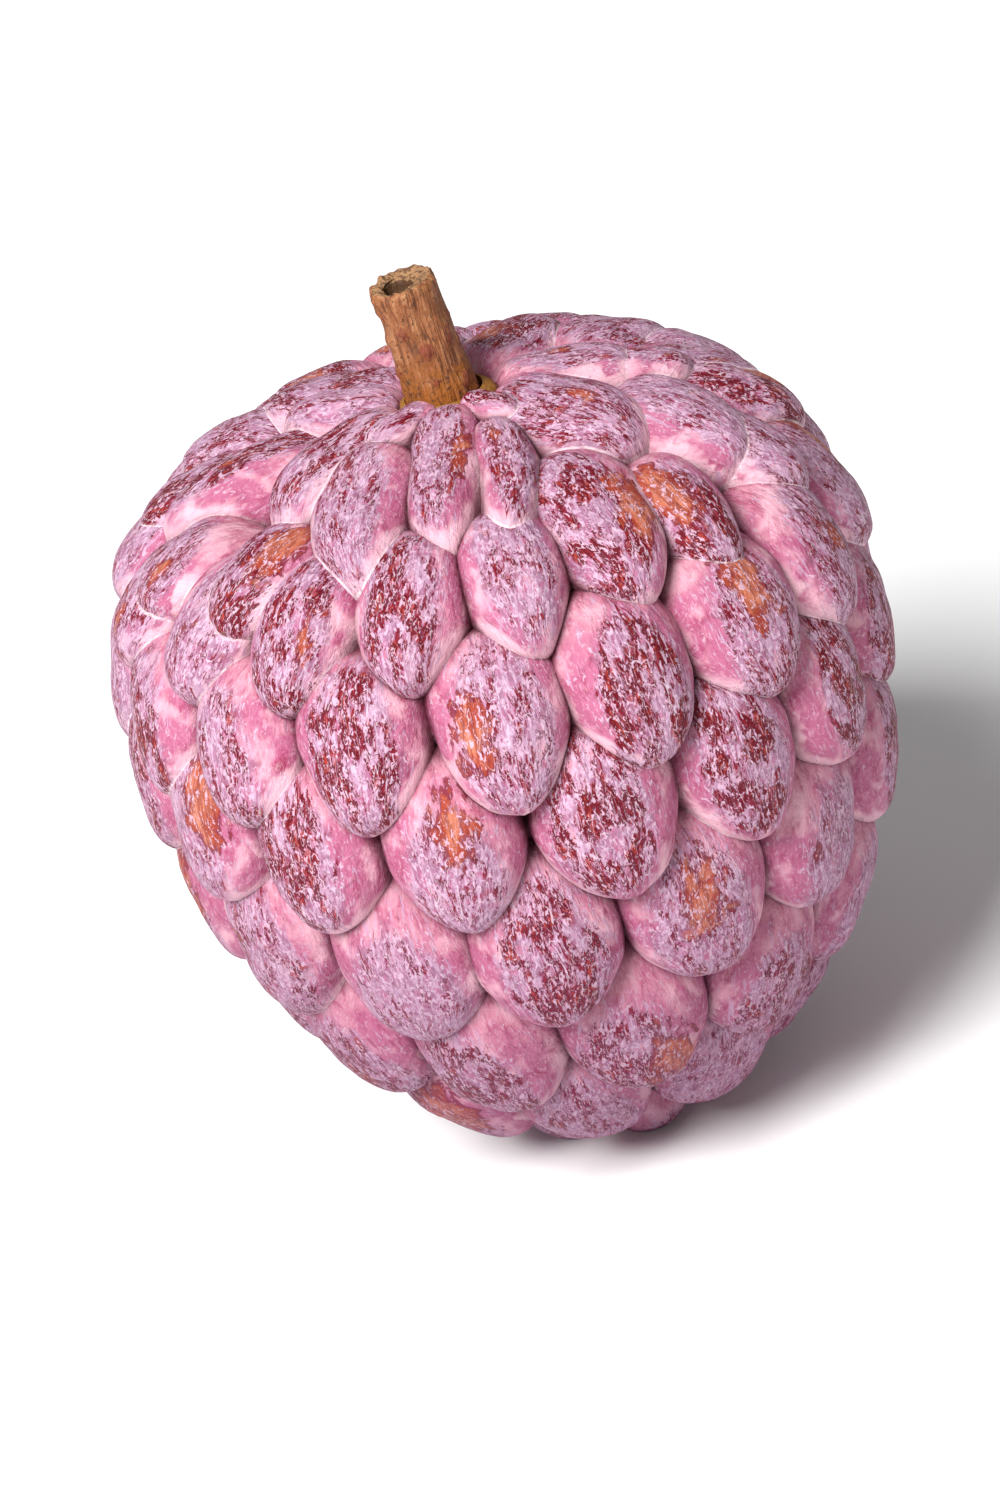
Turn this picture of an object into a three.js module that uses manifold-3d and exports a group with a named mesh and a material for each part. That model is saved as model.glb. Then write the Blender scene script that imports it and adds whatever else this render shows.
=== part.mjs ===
import * as THREE from "three";
import { mergeVertices } from "three/addons/utils/BufferGeometryUtils.js";
import Module from "manifold-3d";

// A custard apple standing on its blossom end. Millimetres, +Z up the fruit's axis,
// front toward -Y, origin at the middle of the small flat spot it stands on.

const wasm = await Module();
wasm.setup();

// Outer form: a solid of revolution that the carpel crests reach. Its radius is an
// ellipse's times a polynomial. Its top slopes down a little toward the back, its
// shoulder bulges a little to the left, and its crown sits a little to the right.
const BODY_BOTTOM = -3.5;
const BODY_TOP = 87.5;
const FULLNESS_MIDDLE = 44.5;
const FULLNESS_SPAN = 40.0;
const FULLNESS = [0.877, 0.179, 0.123, 0.155];
const BACK_SLOPE = 0.022;
const SLOPE_TURN = 145.0;
const SLOPE_FROM = 42.0;
const SLOPE_FULL = 85.0;
const BULGE = 0.02;
const BULGE_FROM = 62.0;
const BULGE_FULL = 80.0;
const CROWN_SHIFT = 1.8;
const CROWN_SHIFT_REACH = 45.0;
const MERIDIAN_STEPS = 720;

// The flesh the carpels grow out of, with the flat spot under it.
const CORE_DEPTH = 6.8;
const CORE_SIDES = 16;
const CORE_LEVELS = 9;
const CORE_FROM = 0.5;
const CORE_TO = 124.0;
const FOOT_RADIUS = 7.0;

// One carpel: a shield on the outer form, tucked in at its upper end and lifted at its
// lower tip. Lengths are measured along the skin.
const CARPEL_RISE = 5.8;
const CARPEL_SIDES = 9;
const CARPEL_WIDEN = 1.1;
const CREST_SHARE = 0.55;
const UNDERLAP = 4.0;
const DOME_LEVELS = [0, 0.6, 0.9];
const ROOT_LEVEL = 2;
const SIDE_POWER = 2.3;
const TIP_POWER = 5.5;
const DOME_ROUND = 0.55;
const ROOT_RING = 0.97;
const ROOT_DEPTH = 8.5;
const UPPER_CORNER = 2.3;
const LOWER_CORNER = 1.7;
const TIP_LIFT = 0.9;
const UPPER_TUCK = 2.4;
const LEAST_TURN_RADIUS = 5.0;

// Carpels that start next to the stem have none above them: they aren't tucked in, and
// both their ends are blunt.
const FREE_FROM = 9.0;
const FREE_TUCK = 0.0;
const FREE_CORNER = 2.1;
const FREE_TIP_POWER = 4.5;
const FREE_CREST_SHARE = 0.42;

// The corky button round the stem: height above the flat spot and radius.
const BUTTON_PROFILE = [[76, 4.6], [84.6, 5.4], [86.0, 5.0], [86.5, 4.2]];

// Points closer than this are one point, and the block below the flat spot.
const WELD = 0.0001;
const GROUND_WIDTH = 200.0;
const GROUND_DEPTH = 50.0;

// How much carpels differ from each other.
const SEED = 20;
const VARY_TURN = 1.0;
const VARY_PATH = 0.6;
const VARY_WIDTH = 0.04;
const VARY_RISE = 0.05;
const CROWN_STEADINESS = 0.4;

// Carpels of the top: turn in degrees (0 at the front, positive to the right), the
// distances along the skin from the axis at which one starts and ends, its width, and
// how many degrees its tip is turned on from its start.
const CROWN = [
  { turn: -8, from: 1.2, to: 28.5, width: 9.2, skew: 0 },
  { turn: 14.5, from: 7.2, to: 31, width: 7.8, skew: -16 },
  { turn: -46, from: 2, to: 12, width: 6.4, skew: -12 },
  { turn: 32, from: 2.5, to: 12.5, width: 6.0, skew: 8 },
  { turn: -39, from: 8, to: 32, width: 12.8, skew: 24 },
  { turn: -70, from: 4, to: 24.5, width: 12.5, skew: 25 },
  { turn: 56, from: 3.5, to: 26, width: 15.0, skew: -8 },
  { turn: 97, from: 4.5, to: 23, width: 13.0, skew: -10 },
  { turn: 145, from: 4.5, to: 26, width: 14.0, skew: 0 },
  { turn: 179, from: 4.5, to: 22, width: 12.5, skew: 0 },
  { turn: -138, from: 4.5, to: 29, width: 14.0, skew: 0 },
  { turn: -117, from: 4.5, to: 20, width: 9.0, skew: 0 },
  { turn: -96, from: 9.5, to: 33, width: 13.0, skew: 12 },
  { turn: 69, from: 14, to: 37, width: 16.0, skew: -14 },
  { turn: 91, from: 14, to: 29, width: 8.5, skew: 0 },
  { turn: 98, from: 16, to: 39.5, width: 15.5, skew: 0 },
  { turn: 125, from: 10, to: 35, width: 14.5, skew: 0 },
  { turn: 150, from: 18, to: 37, width: 15.0, skew: 0 },
  { turn: 178, from: 16, to: 36.5, width: 15.0, skew: 0 },
  { turn: -154, from: 16, to: 37, width: 15.0, skew: 0 },
  { turn: -127, from: 16, to: 37, width: 15.0, skew: 0 },
  { turn: -104, from: 17, to: 37.5, width: 14.0, skew: 0 },
  { turn: -76, from: 22, to: 39.5, width: 14.0, skew: 0 },
  { turn: -52, from: 18, to: 37.5, width: 13.5, skew: 0 },
  { turn: 27.5, from: 13, to: 42, width: 13.8, skew: -6 },
  { turn: 43.5, from: 22, to: 44, width: 12.0, skew: -5 },
];

// Rings of carpels below the top. to is where the tips end at the front, tilt raises
// the right side and sag lowers both sides, both along the skin. first is the turn of
// one carpel, step the degrees to the next across the front; the back takes up the rest.
const RINGS = [
  { to: 42.6, pitch: 15.5, tilt: 1.3, sag: 3.5, count: 16, first: 5.5, step: 21.2, skip: [1, 2] },
  { to: 58.5, pitch: 15.5, tilt: 0.5, sag: 0.0, count: 16, first: -4.5, step: 21.9, skip: [] },
  { to: 72.0, pitch: 14.5, tilt: -1.0, sag: -1.0, count: 16, first: 7.6, step: 22.9, skip: [] },
  { to: 87.3, pitch: 14.8, tilt: -0.5, sag: -0.7, count: 14, first: -6.0, step: 25.8, skip: [] },
  { to: 104.0, pitch: 15.8, tilt: -0.4, sag: -0.3, count: 12, first: 5.0, step: 29.9, skip: [] },
  { to: 119.5, pitch: 15.5, tilt: 0.0, sag: 0.0, count: 9, first: -12.0, step: 40, skip: [] },
  { to: 134.0, pitch: 10.5, tilt: 0.0, sag: 0.0, count: 6, first: 12.0, step: 60, skip: [] },
];
const FRONT_REACH = 3;
const REACH_PITCHES = 4 / 3;
const GIRTH_PITCHES = 0.7;

// The stem: stations up its axis (height above its seat, radius), then its hollow.
const STEM_SIDES = 18;
const STEM_SEAT = 80.1;
const STEM_SHIFT = 1.75;
const STEM_LEAN = -4.5;
const STEM_PROFILE = [
  [0, 3.0], [2.6, 3.6], [5.0, 3.75], [7.5, 3.7], [10.0, 3.55],
  [13.0, 3.4], [16.0, 3.3], [17.8, 3.45], [18.7, 3.5], [19.2, 3.15],
];
const STEM_HOLLOW = [[18.8, 1.95], [17.2, 1.6], [15.6, 1.2]];
const HOLLOW_SHIFT = 0.6;
const STEM_ROUGH = 0.14;
const SEAT_GAP = 0.3;

// Colours as seen, for the plain CAD view.
const SKIN_COLOUR = 0xdd9dbe;
const STEM_COLOUR = 0x9a6a3c;

// A repeatable source of numbers from 0 to 1.
function numbersFrom(seed) {
  let state = seed;
  return () => {
    state = (state + 0x6d2b79f5) | 0;
    let t = Math.imul(state ^ (state >>> 15), 1 | state);
    t = (t + Math.imul(t ^ (t >>> 7), 61 | t)) ^ t;
    return ((t ^ (t >>> 14)) >>> 0) / 4294967296;
  };
}

// Outer radius at a height.
function bodyRadius(z) {
  const t = (z - FULLNESS_MIDDLE) / FULLNESS_SPAN;
  const swell = FULLNESS.reduce((sum, factor, power) => sum + factor * t ** power, 0);
  return Math.sqrt(Math.max((z - BODY_BOTTOM) * (BODY_TOP - z), 0)) * swell;
}

// The outer form's meridian from the top down, with the distance walked along it.
function walkMeridian() {
  const middle = (BODY_TOP + BODY_BOTTOM) / 2;
  const half = (BODY_TOP - BODY_BOTTOM) / 2;
  const stations = [];
  let path = 0;
  for (let i = 0; i <= MERIDIAN_STEPS; i += 1) {
    const z = middle + half * Math.cos((Math.PI * i) / MERIDIAN_STEPS);
    const r = bodyRadius(z);
    const last = stations[stations.length - 1];
    if (last) path += Math.hypot(r - last.r, z - last.z);
    stations.push({ path, r, z });
  }
  return stations;
}
const MERIDIAN = walkMeridian();

// Radius, height and outward direction of the outer form at a distance from the top.
function skinAt(path) {
  const end = MERIDIAN[MERIDIAN.length - 1].path;
  const wanted = THREE.MathUtils.clamp(path, 0, end);
  let low = 0;
  let high = MERIDIAN.length - 1;
  while (high - low > 1) {
    const mid = (low + high) >> 1;
    if (MERIDIAN[mid].path > wanted) high = mid;
    else low = mid;
  }
  const a = MERIDIAN[low];
  const b = MERIDIAN[high];
  const share = (wanted - a.path) / (b.path - a.path);
  const step = b.path - a.path;
  return {
    r: a.r + (b.r - a.r) * share,
    z: a.z + (b.z - a.z) * share,
    outR: -(b.z - a.z) / step,
    outZ: (b.r - a.r) / step,
  };
}

// A point over the outer form: turned round the axis, down the skin, across it and out.
function overSkin(turn, path, across, out) {
  const skin = skinAt(path);
  const angle = turn + across / Math.max(skin.r, LEAST_TURN_RADIUS);
  const z = skin.z + out * skin.outZ;
  const bulge = BULGE * THREE.MathUtils.smoothstep(z, BULGE_FROM, BULGE_FULL);
  const radius = (skin.r + out * skin.outR) * (1 - bulge * Math.sin(angle));
  const behind = radius * Math.cos(angle - THREE.MathUtils.degToRad(SLOPE_TURN));
  const share = THREE.MathUtils.smoothstep(z, SLOPE_FROM, SLOPE_FULL);
  const shift = CROWN_SHIFT * (1 - THREE.MathUtils.smoothstep(path, 0, CROWN_SHIFT_REACH));
  return new THREE.Vector3(
    radius * Math.sin(angle) + shift,
    -radius * Math.cos(angle),
    z - share * BACK_SLOPE * Math.max(behind, 0),
  );
}

// Closed body of a geometry, turned to face outward.
function solidOf(geometry) {
  const bare = geometry.clone();
  bare.deleteAttribute("normal");
  bare.deleteAttribute("uv");
  const merged = mergeVertices(bare, WELD);
  const make = (triVerts) => new wasm.Manifold(new wasm.Mesh({
    numProp: 3,
    vertProperties: merged.attributes.position.array,
    triVerts,
  }));
  const triVerts = new Uint32Array(merged.index.array);
  const made = make(triVerts);
  if (made.volume() > 0) return made;
  return make(triVerts.map((_, i) => triVerts[i - (i % 3) + 2 - (i % 3)]));
}

// How far a carpel's skin lies under its crest, from 0 at the crest to 1 at its edge.
// It stays flat longest and drops most sharply toward a blunt end.
function domeDrop(ring, down, endPower) {
  const power = SIDE_POWER + (endPower - SIDE_POWER) * down ** 2;
  return 1 - (1 - ring ** power) ** DOME_ROUND;
}

// One carpel: a lathe of dome, edge and root, bent over the outer form.
function carpelSolid(carpel) {
  const length = carpel.to - carpel.from;
  const isFree = carpel.from < FREE_FROM;
  const tuck = isFree ? FREE_TUCK : UPPER_TUCK;
  const tipPower = isFree ? FREE_TIP_POWER : TIP_POWER;
  const rearPower = isFree ? FREE_TIP_POWER : SIDE_POWER;
  const upper = length * (isFree ? FREE_CREST_SHARE : CREST_SHARE);
  const lower = length - upper;
  const crest = carpel.to - lower;
  const points = DOME_LEVELS.map((ring) => new THREE.Vector2(ring, ring));
  points.push(new THREE.Vector2(ROOT_RING, ROOT_LEVEL), new THREE.Vector2(0, ROOT_LEVEL));
  const geometry = new THREE.LatheGeometry(points, CARPEL_SIDES);
  const at = geometry.attributes.position;
  for (let i = 0; i < at.count; i += 1) {
    const ring = Math.hypot(at.getX(i), at.getZ(i));
    const around = Math.atan2(at.getZ(i), at.getX(i));
    const side = Math.cos(around);
    const down = Math.sin(around);
    const corner = isFree ? FREE_CORNER : (down > 0 ? LOWER_CORNER : UPPER_CORNER);
    const edge = (Math.abs(side) ** corner + Math.abs(down) ** corner) ** (-1 / corner);
    const across = carpel.halfWidth * ring * edge * side;
    const along = (down > 0 ? lower : upper) * ring * edge * down;
    const isRoot = at.getY(i) === ROOT_LEVEL;
    const lift = along > 0 ? (TIP_LIFT * along) / lower : -tuck * (along / upper) ** 2;
    const endPower = down > 0 ? tipPower : rearPower;
    const drop = carpel.rise * domeDrop(Math.min(ring, 1), down, endPower);
    const out = isRoot ? -ROOT_DEPTH : lift - drop;
    const turn = carpel.turn + (carpel.skew * along) / length;
    const point = overSkin(turn, crest + along, across, out);
    at.setXYZ(i, point.x, point.y, point.z);
  }
  return solidOf(geometry);
}

// The flesh inside the carpels, down to the flat spot.
function coreSolid() {
  const points = [new THREE.Vector2(0, 0), new THREE.Vector2(FOOT_RADIUS, 0)];
  for (let i = 0; i <= CORE_LEVELS; i += 1) {
    const skin = skinAt(CORE_TO + ((CORE_FROM - CORE_TO) * i) / CORE_LEVELS);
    points.push(new THREE.Vector2(
      Math.max(skin.r - CORE_DEPTH * skin.outR, 0),
      skin.z - CORE_DEPTH * skin.outZ,
    ));
  }
  points.push(new THREE.Vector2(0, points[points.length - 1].y));
  const geometry = new THREE.LatheGeometry(points, CORE_SIDES);
  geometry.rotateX(Math.PI / 2);
  return solidOf(geometry);
}

// The corky button that the stem grows from.
function buttonSolid() {
  const points = BUTTON_PROFILE.map(([height, radius]) => new THREE.Vector2(radius, height));
  points.unshift(new THREE.Vector2(0, BUTTON_PROFILE[0][0]));
  points.push(new THREE.Vector2(0, BUTTON_PROFILE[BUTTON_PROFILE.length - 1][0]));
  const geometry = new THREE.LatheGeometry(points, STEM_SIDES);
  geometry.rotateX(Math.PI / 2);
  geometry.translate(STEM_SHIFT, 0, 0);
  return solidOf(geometry);
}

// Turn from a ring's first carpel to its kth: even steps across the front, and the
// rest of the circle shared out over the back.
function ringTurn(ring, k) {
  const front = FRONT_REACH * ring.step;
  if (k <= FRONT_REACH) return k * ring.step;
  if (k >= ring.count - FRONT_REACH) return 360 - (ring.count - k) * ring.step;
  const gaps = ring.count - 2 * FRONT_REACH;
  return front + ((k - FRONT_REACH) * (360 - 2 * front)) / gaps;
}

// Every carpel of the fruit, with its own variation.
function carpelList() {
  const next = numbersFrom(SEED);
  const vary = (amount) => (next() * 2 - 1) * amount;
  const list = CROWN.map((one) => ({ ...one, own: CROWN_STEADINESS }));
  RINGS.forEach((ring) => {
    for (let k = 0; k < ring.count; k += 1) {
      if (ring.skip.includes(k)) continue;
      const turn = ring.first + ringTurn(ring, k);
      const side = Math.sin(THREE.MathUtils.degToRad(turn));
      const to = ring.to - ring.tilt * side + ring.sag * side * side;
      const reach = ring.pitch * REACH_PITCHES + UNDERLAP;
      const girth = 2 * Math.PI * skinAt(to - ring.pitch * GIRTH_PITCHES).r;
      list.push({ turn, from: to - reach, to, width: girth / ring.count, skew: 0, own: 1 });
    }
  });
  return list.map((one) => ({
    turn: THREE.MathUtils.degToRad(one.turn + vary(VARY_TURN * one.own)),
    skew: THREE.MathUtils.degToRad(one.skew),
    from: one.from,
    to: one.to + vary(VARY_PATH * one.own),
    halfWidth: (one.width / 2) * CARPEL_WIDEN * (1 + vary(VARY_WIDTH)),
    rise: CARPEL_RISE * (1 + vary(VARY_RISE)),
  }));
}

// The stem as one lathe: foot, collar, shaft, broken rim and hollow.
function stemSolid(grow) {
  const next = numbersFrom(SEED + 1);
  const outline = [[STEM_PROFILE[0][0], 0], ...STEM_PROFILE];
  const points = outline.map(([up, radius]) => new THREE.Vector2(radius && radius + grow, up));
  if (!grow) STEM_HOLLOW.forEach(([up, radius]) => points.push(new THREE.Vector2(radius, up)));
  points.push(new THREE.Vector2(0, points[points.length - 1].y));
  const geometry = new THREE.LatheGeometry(points, STEM_SIDES);
  const at = geometry.attributes.position;
  const rows = points.length;
  const rimRow = outline.length - 1;
  const bumps = Array.from({ length: rows * STEM_SIDES }, () => (next() * 2 - 1) * STEM_ROUGH);
  for (let i = 0; i < at.count; i += 1) {
    const column = Math.floor(i / rows) % STEM_SIDES;
    const shift = !grow && i % rows > rimRow ? -HOLLOW_SHIFT : 0;
    const bump = grow ? 0 : bumps[column * rows + (i % rows)];
    const radius = Math.hypot(at.getX(i), at.getZ(i));
    const scale = radius > WELD ? (radius + bump) / radius : 1;
    at.setXYZ(i, at.getX(i) * scale + shift, at.getY(i), at.getZ(i) * scale);
  }
  geometry.rotateX(Math.PI / 2);
  geometry.rotateY(THREE.MathUtils.degToRad(STEM_LEAN));
  geometry.translate(STEM_SHIFT, 0, STEM_SEAT);
  return solidOf(geometry);
}

// A named mesh from a closed body.
function meshOf(name, solid, colour, roughness) {
  const made = solid.getMesh();
  const geometry = new THREE.BufferGeometry();
  geometry.setAttribute("position", new THREE.BufferAttribute(made.vertProperties, 3));
  geometry.setIndex(new THREE.BufferAttribute(made.triVerts, 1));
  const material = new THREE.MeshStandardMaterial({ color: colour, roughness, metalness: 0 });
  const mesh = new THREE.Mesh(geometry, material);
  mesh.name = name;
  return mesh;
}

// Everything below the flat spot is cut away.
function groundSolid() {
  const geometry = new THREE.BoxGeometry(GROUND_WIDTH, GROUND_WIDTH, GROUND_DEPTH);
  geometry.translate(0, 0, -GROUND_DEPTH / 2);
  return solidOf(geometry);
}

let fruit = coreSolid().add(buttonSolid());
carpelList().forEach((carpel) => {
  fruit = fruit.add(carpelSolid(carpel));
});
fruit = fruit.subtract(groundSolid()).subtract(stemSolid(SEAT_GAP));

const group = new THREE.Group();
group.add(meshOf("fruit", fruit, SKIN_COLOUR, 0.6));
group.add(meshOf("stem", stemSolid(0), STEM_COLOUR, 0.85));
export default group;
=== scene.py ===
import math

import bpy
import numpy as np
from mathutils import Matrix, Vector, noise


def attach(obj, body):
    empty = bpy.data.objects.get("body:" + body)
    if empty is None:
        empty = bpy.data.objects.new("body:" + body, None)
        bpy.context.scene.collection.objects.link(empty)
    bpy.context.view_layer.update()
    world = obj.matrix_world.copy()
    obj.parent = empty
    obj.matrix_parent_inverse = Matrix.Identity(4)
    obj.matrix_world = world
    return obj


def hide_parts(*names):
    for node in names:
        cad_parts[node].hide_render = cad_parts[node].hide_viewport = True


# A custard apple standing on its blossom end: +Z up the fruit's axis, front toward -Y,
# origin at the middle of the flat spot. Shapes are worked out in millimetres, in the
# CAD's own rule, and become metres as they turn into Blender meshes.
MM = 0.001

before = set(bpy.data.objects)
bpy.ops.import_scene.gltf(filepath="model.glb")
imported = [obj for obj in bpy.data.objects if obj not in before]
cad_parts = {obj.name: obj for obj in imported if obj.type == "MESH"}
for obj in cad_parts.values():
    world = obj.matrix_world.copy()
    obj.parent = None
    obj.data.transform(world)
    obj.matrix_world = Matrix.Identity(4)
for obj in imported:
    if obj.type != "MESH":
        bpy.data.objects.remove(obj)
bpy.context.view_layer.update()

# The form that the carpel crests reach: an ellipse's radius times a polynomial, with
# the top sloping down to the back and the shoulder bulging to the left.
BODY_BOTTOM = -3.5
BODY_TOP = 87.5
FULLNESS_MIDDLE = 44.5
FULLNESS_SPAN = 40.0
FULLNESS = (0.877, 0.179, 0.123, 0.155)
BACK_SLOPE = 0.022
SLOPE_TURN = math.radians(145)
SLOPE_FROM = 42.0
SLOPE_FULL = 85.0
BULGE = 0.02
BULGE_FROM = 62.0
BULGE_FULL = 80.0
CROWN_SHIFT = 1.8
CROWN_SHIFT_REACH = 45.0
MERIDIAN_STEPS = 720

# The flesh under the carpels, and its flat spot.
CORE_DEPTH = 6.8
CORE_SIDES = 64
CORE_LEVELS = 24
CORE_FROM = 0.5
CORE_TO = 124.0
FOOT_RADIUS = 7.0

# One carpel: a shield tucked in at its upper end and lifted at its lower tip.
CARPEL_RISE = 5.8
CARPEL_WIDEN = 1.1
CREST_SHARE = 0.55
UNDERLAP = 4.0
SIDE_POWER = 2.3
TIP_POWER = 5.5
DOME_ROUND = 0.55
ROOT_RING = 0.9
ROOT_DEPTH = 8.5
UPPER_CORNER = 2.3
LOWER_CORNER = 1.7
TIP_LIFT = 0.9
UPPER_TUCK = 2.4
LEAST_TURN_RADIUS = 5.0

# Carpels that start next to the stem have none above them: untucked, blunt at both ends.
FREE_FROM = 9.0
FREE_TUCK = 0.0
FREE_CORNER = 2.1
FREE_TIP_POWER = 4.5
FREE_CREST_SHARE = 0.42

# The corky button round the stem: height and radius.
BUTTON_PROFILE = ((76.0, 4.6), (84.6, 5.4), (86.0, 5.0), (86.5, 4.2))

# The carpel's mesh, and how far its outline waves in and out: waves around, share of size.
CARPEL_SPOKES = 54
CARPEL_RINGS = 16
RIM_CROWDING = 1.7
OUTLINE_WAVES = ((2, 0.012), (3, 0.016), (5, 0.010), (9, 0.005), (13, 0.004))

# How much carpels differ from each other. Those of the crown were placed one by one, so
# they vary less. Each carpel's own draws shift, size and wear its markings.
SEED = 20
VARY_TURN = 1.0
VARY_PATH = 0.6
VARY_WIDTH = 0.04
VARY_RISE = 0.05
CROWN_SHARE = 0.4
OWN_DRAWS = 6

# Carpels of the top: turn in degrees, skin distances at which one starts and ends, width,
# and how far its tip is turned on from its start.
CROWN = (
    (-8, 1.2, 28.5, 9.2, 0), (14.5, 7.2, 31, 7.8, -16), (-46, 2, 12, 6.4, -12),
    (32, 2.5, 12.5, 6, 8), (-39, 8, 32, 12.8, 24), (-70, 4, 24.5, 12.5, 25),
    (56, 3.5, 26, 15, -8), (97, 4.5, 23, 13, -10), (145, 4.5, 26, 14, 0),
    (179, 4.5, 22, 12.5, 0), (-138, 4.5, 29, 14, 0), (-117, 4.5, 20, 9, 0),
    (-96, 9.5, 33, 13, 12), (69, 14, 37, 16, -14), (91, 14, 29, 8.5, 0),
    (98, 16, 39.5, 15.5, 0), (125, 10, 35, 14.5, 0), (150, 18, 37, 15, 0),
    (178, 16, 36.5, 15, 0), (-154, 16, 37, 15, 0), (-127, 16, 37, 15, 0),
    (-104, 17, 37.5, 14, 0), (-76, 22, 39.5, 14, 0), (-52, 18, 37.5, 13.5, 0),
    (27.5, 13, 42, 13.8, -6), (43.5, 22, 44, 12, -5),
)

# Rings below the top: tip distance, pitch, tilt, sag, count, first turn, front step, and the
# places that the crown's lowest carpels take.
RINGS = (
    (42.6, 15.5, 1.3, 3.5, 16, 5.5, 21.2, (1, 2)),
    (58.5, 15.5, 0.5, 0.0, 16, -4.5, 21.9, ()),
    (72.0, 14.5, -1.0, -1.0, 16, 7.6, 22.9, ()),
    (87.3, 14.8, -0.5, -0.7, 14, -6.0, 25.8, ()),
    (104.0, 15.8, -0.4, -0.3, 12, 5.0, 29.9, ()),
    (119.5, 15.5, 0.0, 0.0, 9, -12.0, 40.0, ()),
    (134.0, 10.5, 0.0, 0.0, 6, 12.0, 60.0, ()),
)
# Front steps to each side; a carpel's length and where its ring is measured, in pitches.
FRONT_REACH = 3
REACH_PITCHES = 4 / 3
GIRTH_PITCHES = 0.7

# The stem: height above its seat and radius, then its hollow.
STEM_SEAT = 80.1
STEM_SHIFT = 1.75
STEM_LEAN = math.radians(-4.5)
STEM_PROFILE = (
    (0.0, 3.0), (2.6, 3.6), (5.0, 3.75), (7.5, 3.7), (10.0, 3.55),
    (13.0, 3.4), (16.0, 3.3), (17.8, 3.45), (18.7, 3.5), (19.2, 3.15),
)
STEM_HOLLOW = ((18.8, 1.95), (17.2, 1.6), (15.6, 1.2))
HOLLOW_SHIFT = 0.6
SEAT_GAP = 0.3


def numbers_from(seed):
    """The CAD's own repeatable source of numbers from 0 to 1."""
    state = [seed & 0xFFFFFFFF]

    def draw():
        state[0] = (state[0] + 0x6D2B79F5) & 0xFFFFFFFF
        t = ((state[0] ^ (state[0] >> 15)) * (1 | state[0])) & 0xFFFFFFFF
        t = ((t + (((t ^ (t >> 7)) * (61 | t)) & 0xFFFFFFFF)) & 0xFFFFFFFF) ^ t
        return ((t ^ (t >> 14)) & 0xFFFFFFFF) / 4294967296

    return draw


def ease(value, start, end):
    """0 before start, 1 after end, smooth between them."""
    share = np.clip((value - start) / (end - start), 0, 1)
    return share * share * (3 - 2 * share)


def body_radius(z):
    t = (z - FULLNESS_MIDDLE) / FULLNESS_SPAN
    swell = sum(factor * t**power for power, factor in enumerate(FULLNESS))
    return np.sqrt(np.maximum((z - BODY_BOTTOM) * (BODY_TOP - z), 0)) * swell


def walk_meridian():
    """The outer form's meridian from the top down: distance walked, radius, height."""
    turn = np.linspace(0, math.pi, MERIDIAN_STEPS + 1)
    z = (BODY_TOP + BODY_BOTTOM) / 2 + (BODY_TOP - BODY_BOTTOM) / 2 * np.cos(turn)
    r = body_radius(z)
    steps = np.hypot(np.diff(r), np.diff(z))
    return np.concatenate([[0], np.cumsum(steps)]), r, z


PATH, PATH_R, PATH_Z = walk_meridian()
SLOPE_AT = (PATH[1:] + PATH[:-1]) / 2
SLOPE_R = np.diff(PATH_R) / np.diff(PATH)
SLOPE_Z = np.diff(PATH_Z) / np.diff(PATH)


# The inverse's rounds: of the whole, of the sloping top within it, and of refining the
# path; and how many points are placed at a time.
PLACE_ROUNDS = 4
LEVEL_ROUNDS = 4
REFINE_ROUNDS = 2
PLACE_BATCH = 4000


def skin_at(path):
    """Radius, height and outward direction of the outer form at a distance from the top."""
    path = np.clip(path, 0, PATH[-1])
    along_r = np.interp(path, SLOPE_AT, SLOPE_R)
    along_z = np.interp(path, SLOPE_AT, SLOPE_Z)
    length = np.hypot(along_r, along_z)
    r = np.interp(path, PATH, PATH_R)
    z = np.interp(path, PATH, PATH_Z)
    return r, z, -along_z / length, along_r / length


def over_skin(turn, path, across, out):
    """Points over the outer form: turned round the axis, down the skin, across it and out."""
    r, z, out_r, out_z = skin_at(path)
    angle = turn + across / np.maximum(r, LEAST_TURN_RADIUS)
    z = z + out * out_z
    radius = (r + out * out_r) * (1 - BULGE * ease(z, BULGE_FROM, BULGE_FULL) * np.sin(angle))
    behind = radius * np.cos(angle - SLOPE_TURN)
    drop = ease(z, SLOPE_FROM, SLOPE_FULL) * BACK_SLOPE * np.maximum(behind, 0)
    x = radius * np.sin(angle) + CROWN_SHIFT * ease(path, CROWN_SHIFT_REACH, 0)
    return np.stack([x, -radius * np.cos(angle), z - drop], -1)


def skin_place(points):
    """The inverse of over_skin: turn and path for points near the skin."""
    path = np.full(len(points), CROWN_SHIFT_REACH)
    for _ in range(PLACE_ROUNDS):
        x = points[:, 0] - CROWN_SHIFT * ease(path, CROWN_SHIFT_REACH, 0)
        y, z = points[:, 1:].T
        angle = np.arctan2(x, -y)
        behind = np.maximum(np.hypot(x, y) * np.cos(angle - SLOPE_TURN), 0)
        level = z.copy()
        for _ in range(LEVEL_ROUNDS):
            level = z + ease(level, SLOPE_FROM, SLOPE_FULL) * BACK_SLOPE * behind
        radius = np.hypot(x, y) / (1 - BULGE * ease(level, BULGE_FROM, BULGE_FULL) * np.sin(angle))
        for start in range(0, len(x), PLACE_BATCH):
            part = slice(start, start + PLACE_BATCH)
            away = (radius[part, None] - PATH_R) ** 2 + (level[part, None] - PATH_Z) ** 2
            path[part] = PATH[np.argmin(away, axis=1)]
    for _ in range(REFINE_ROUNDS):
        r, height, out_r, out_z = skin_at(path)
        path = path + (radius - r) * out_z - (level - height) * out_r
    return angle, path


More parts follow.
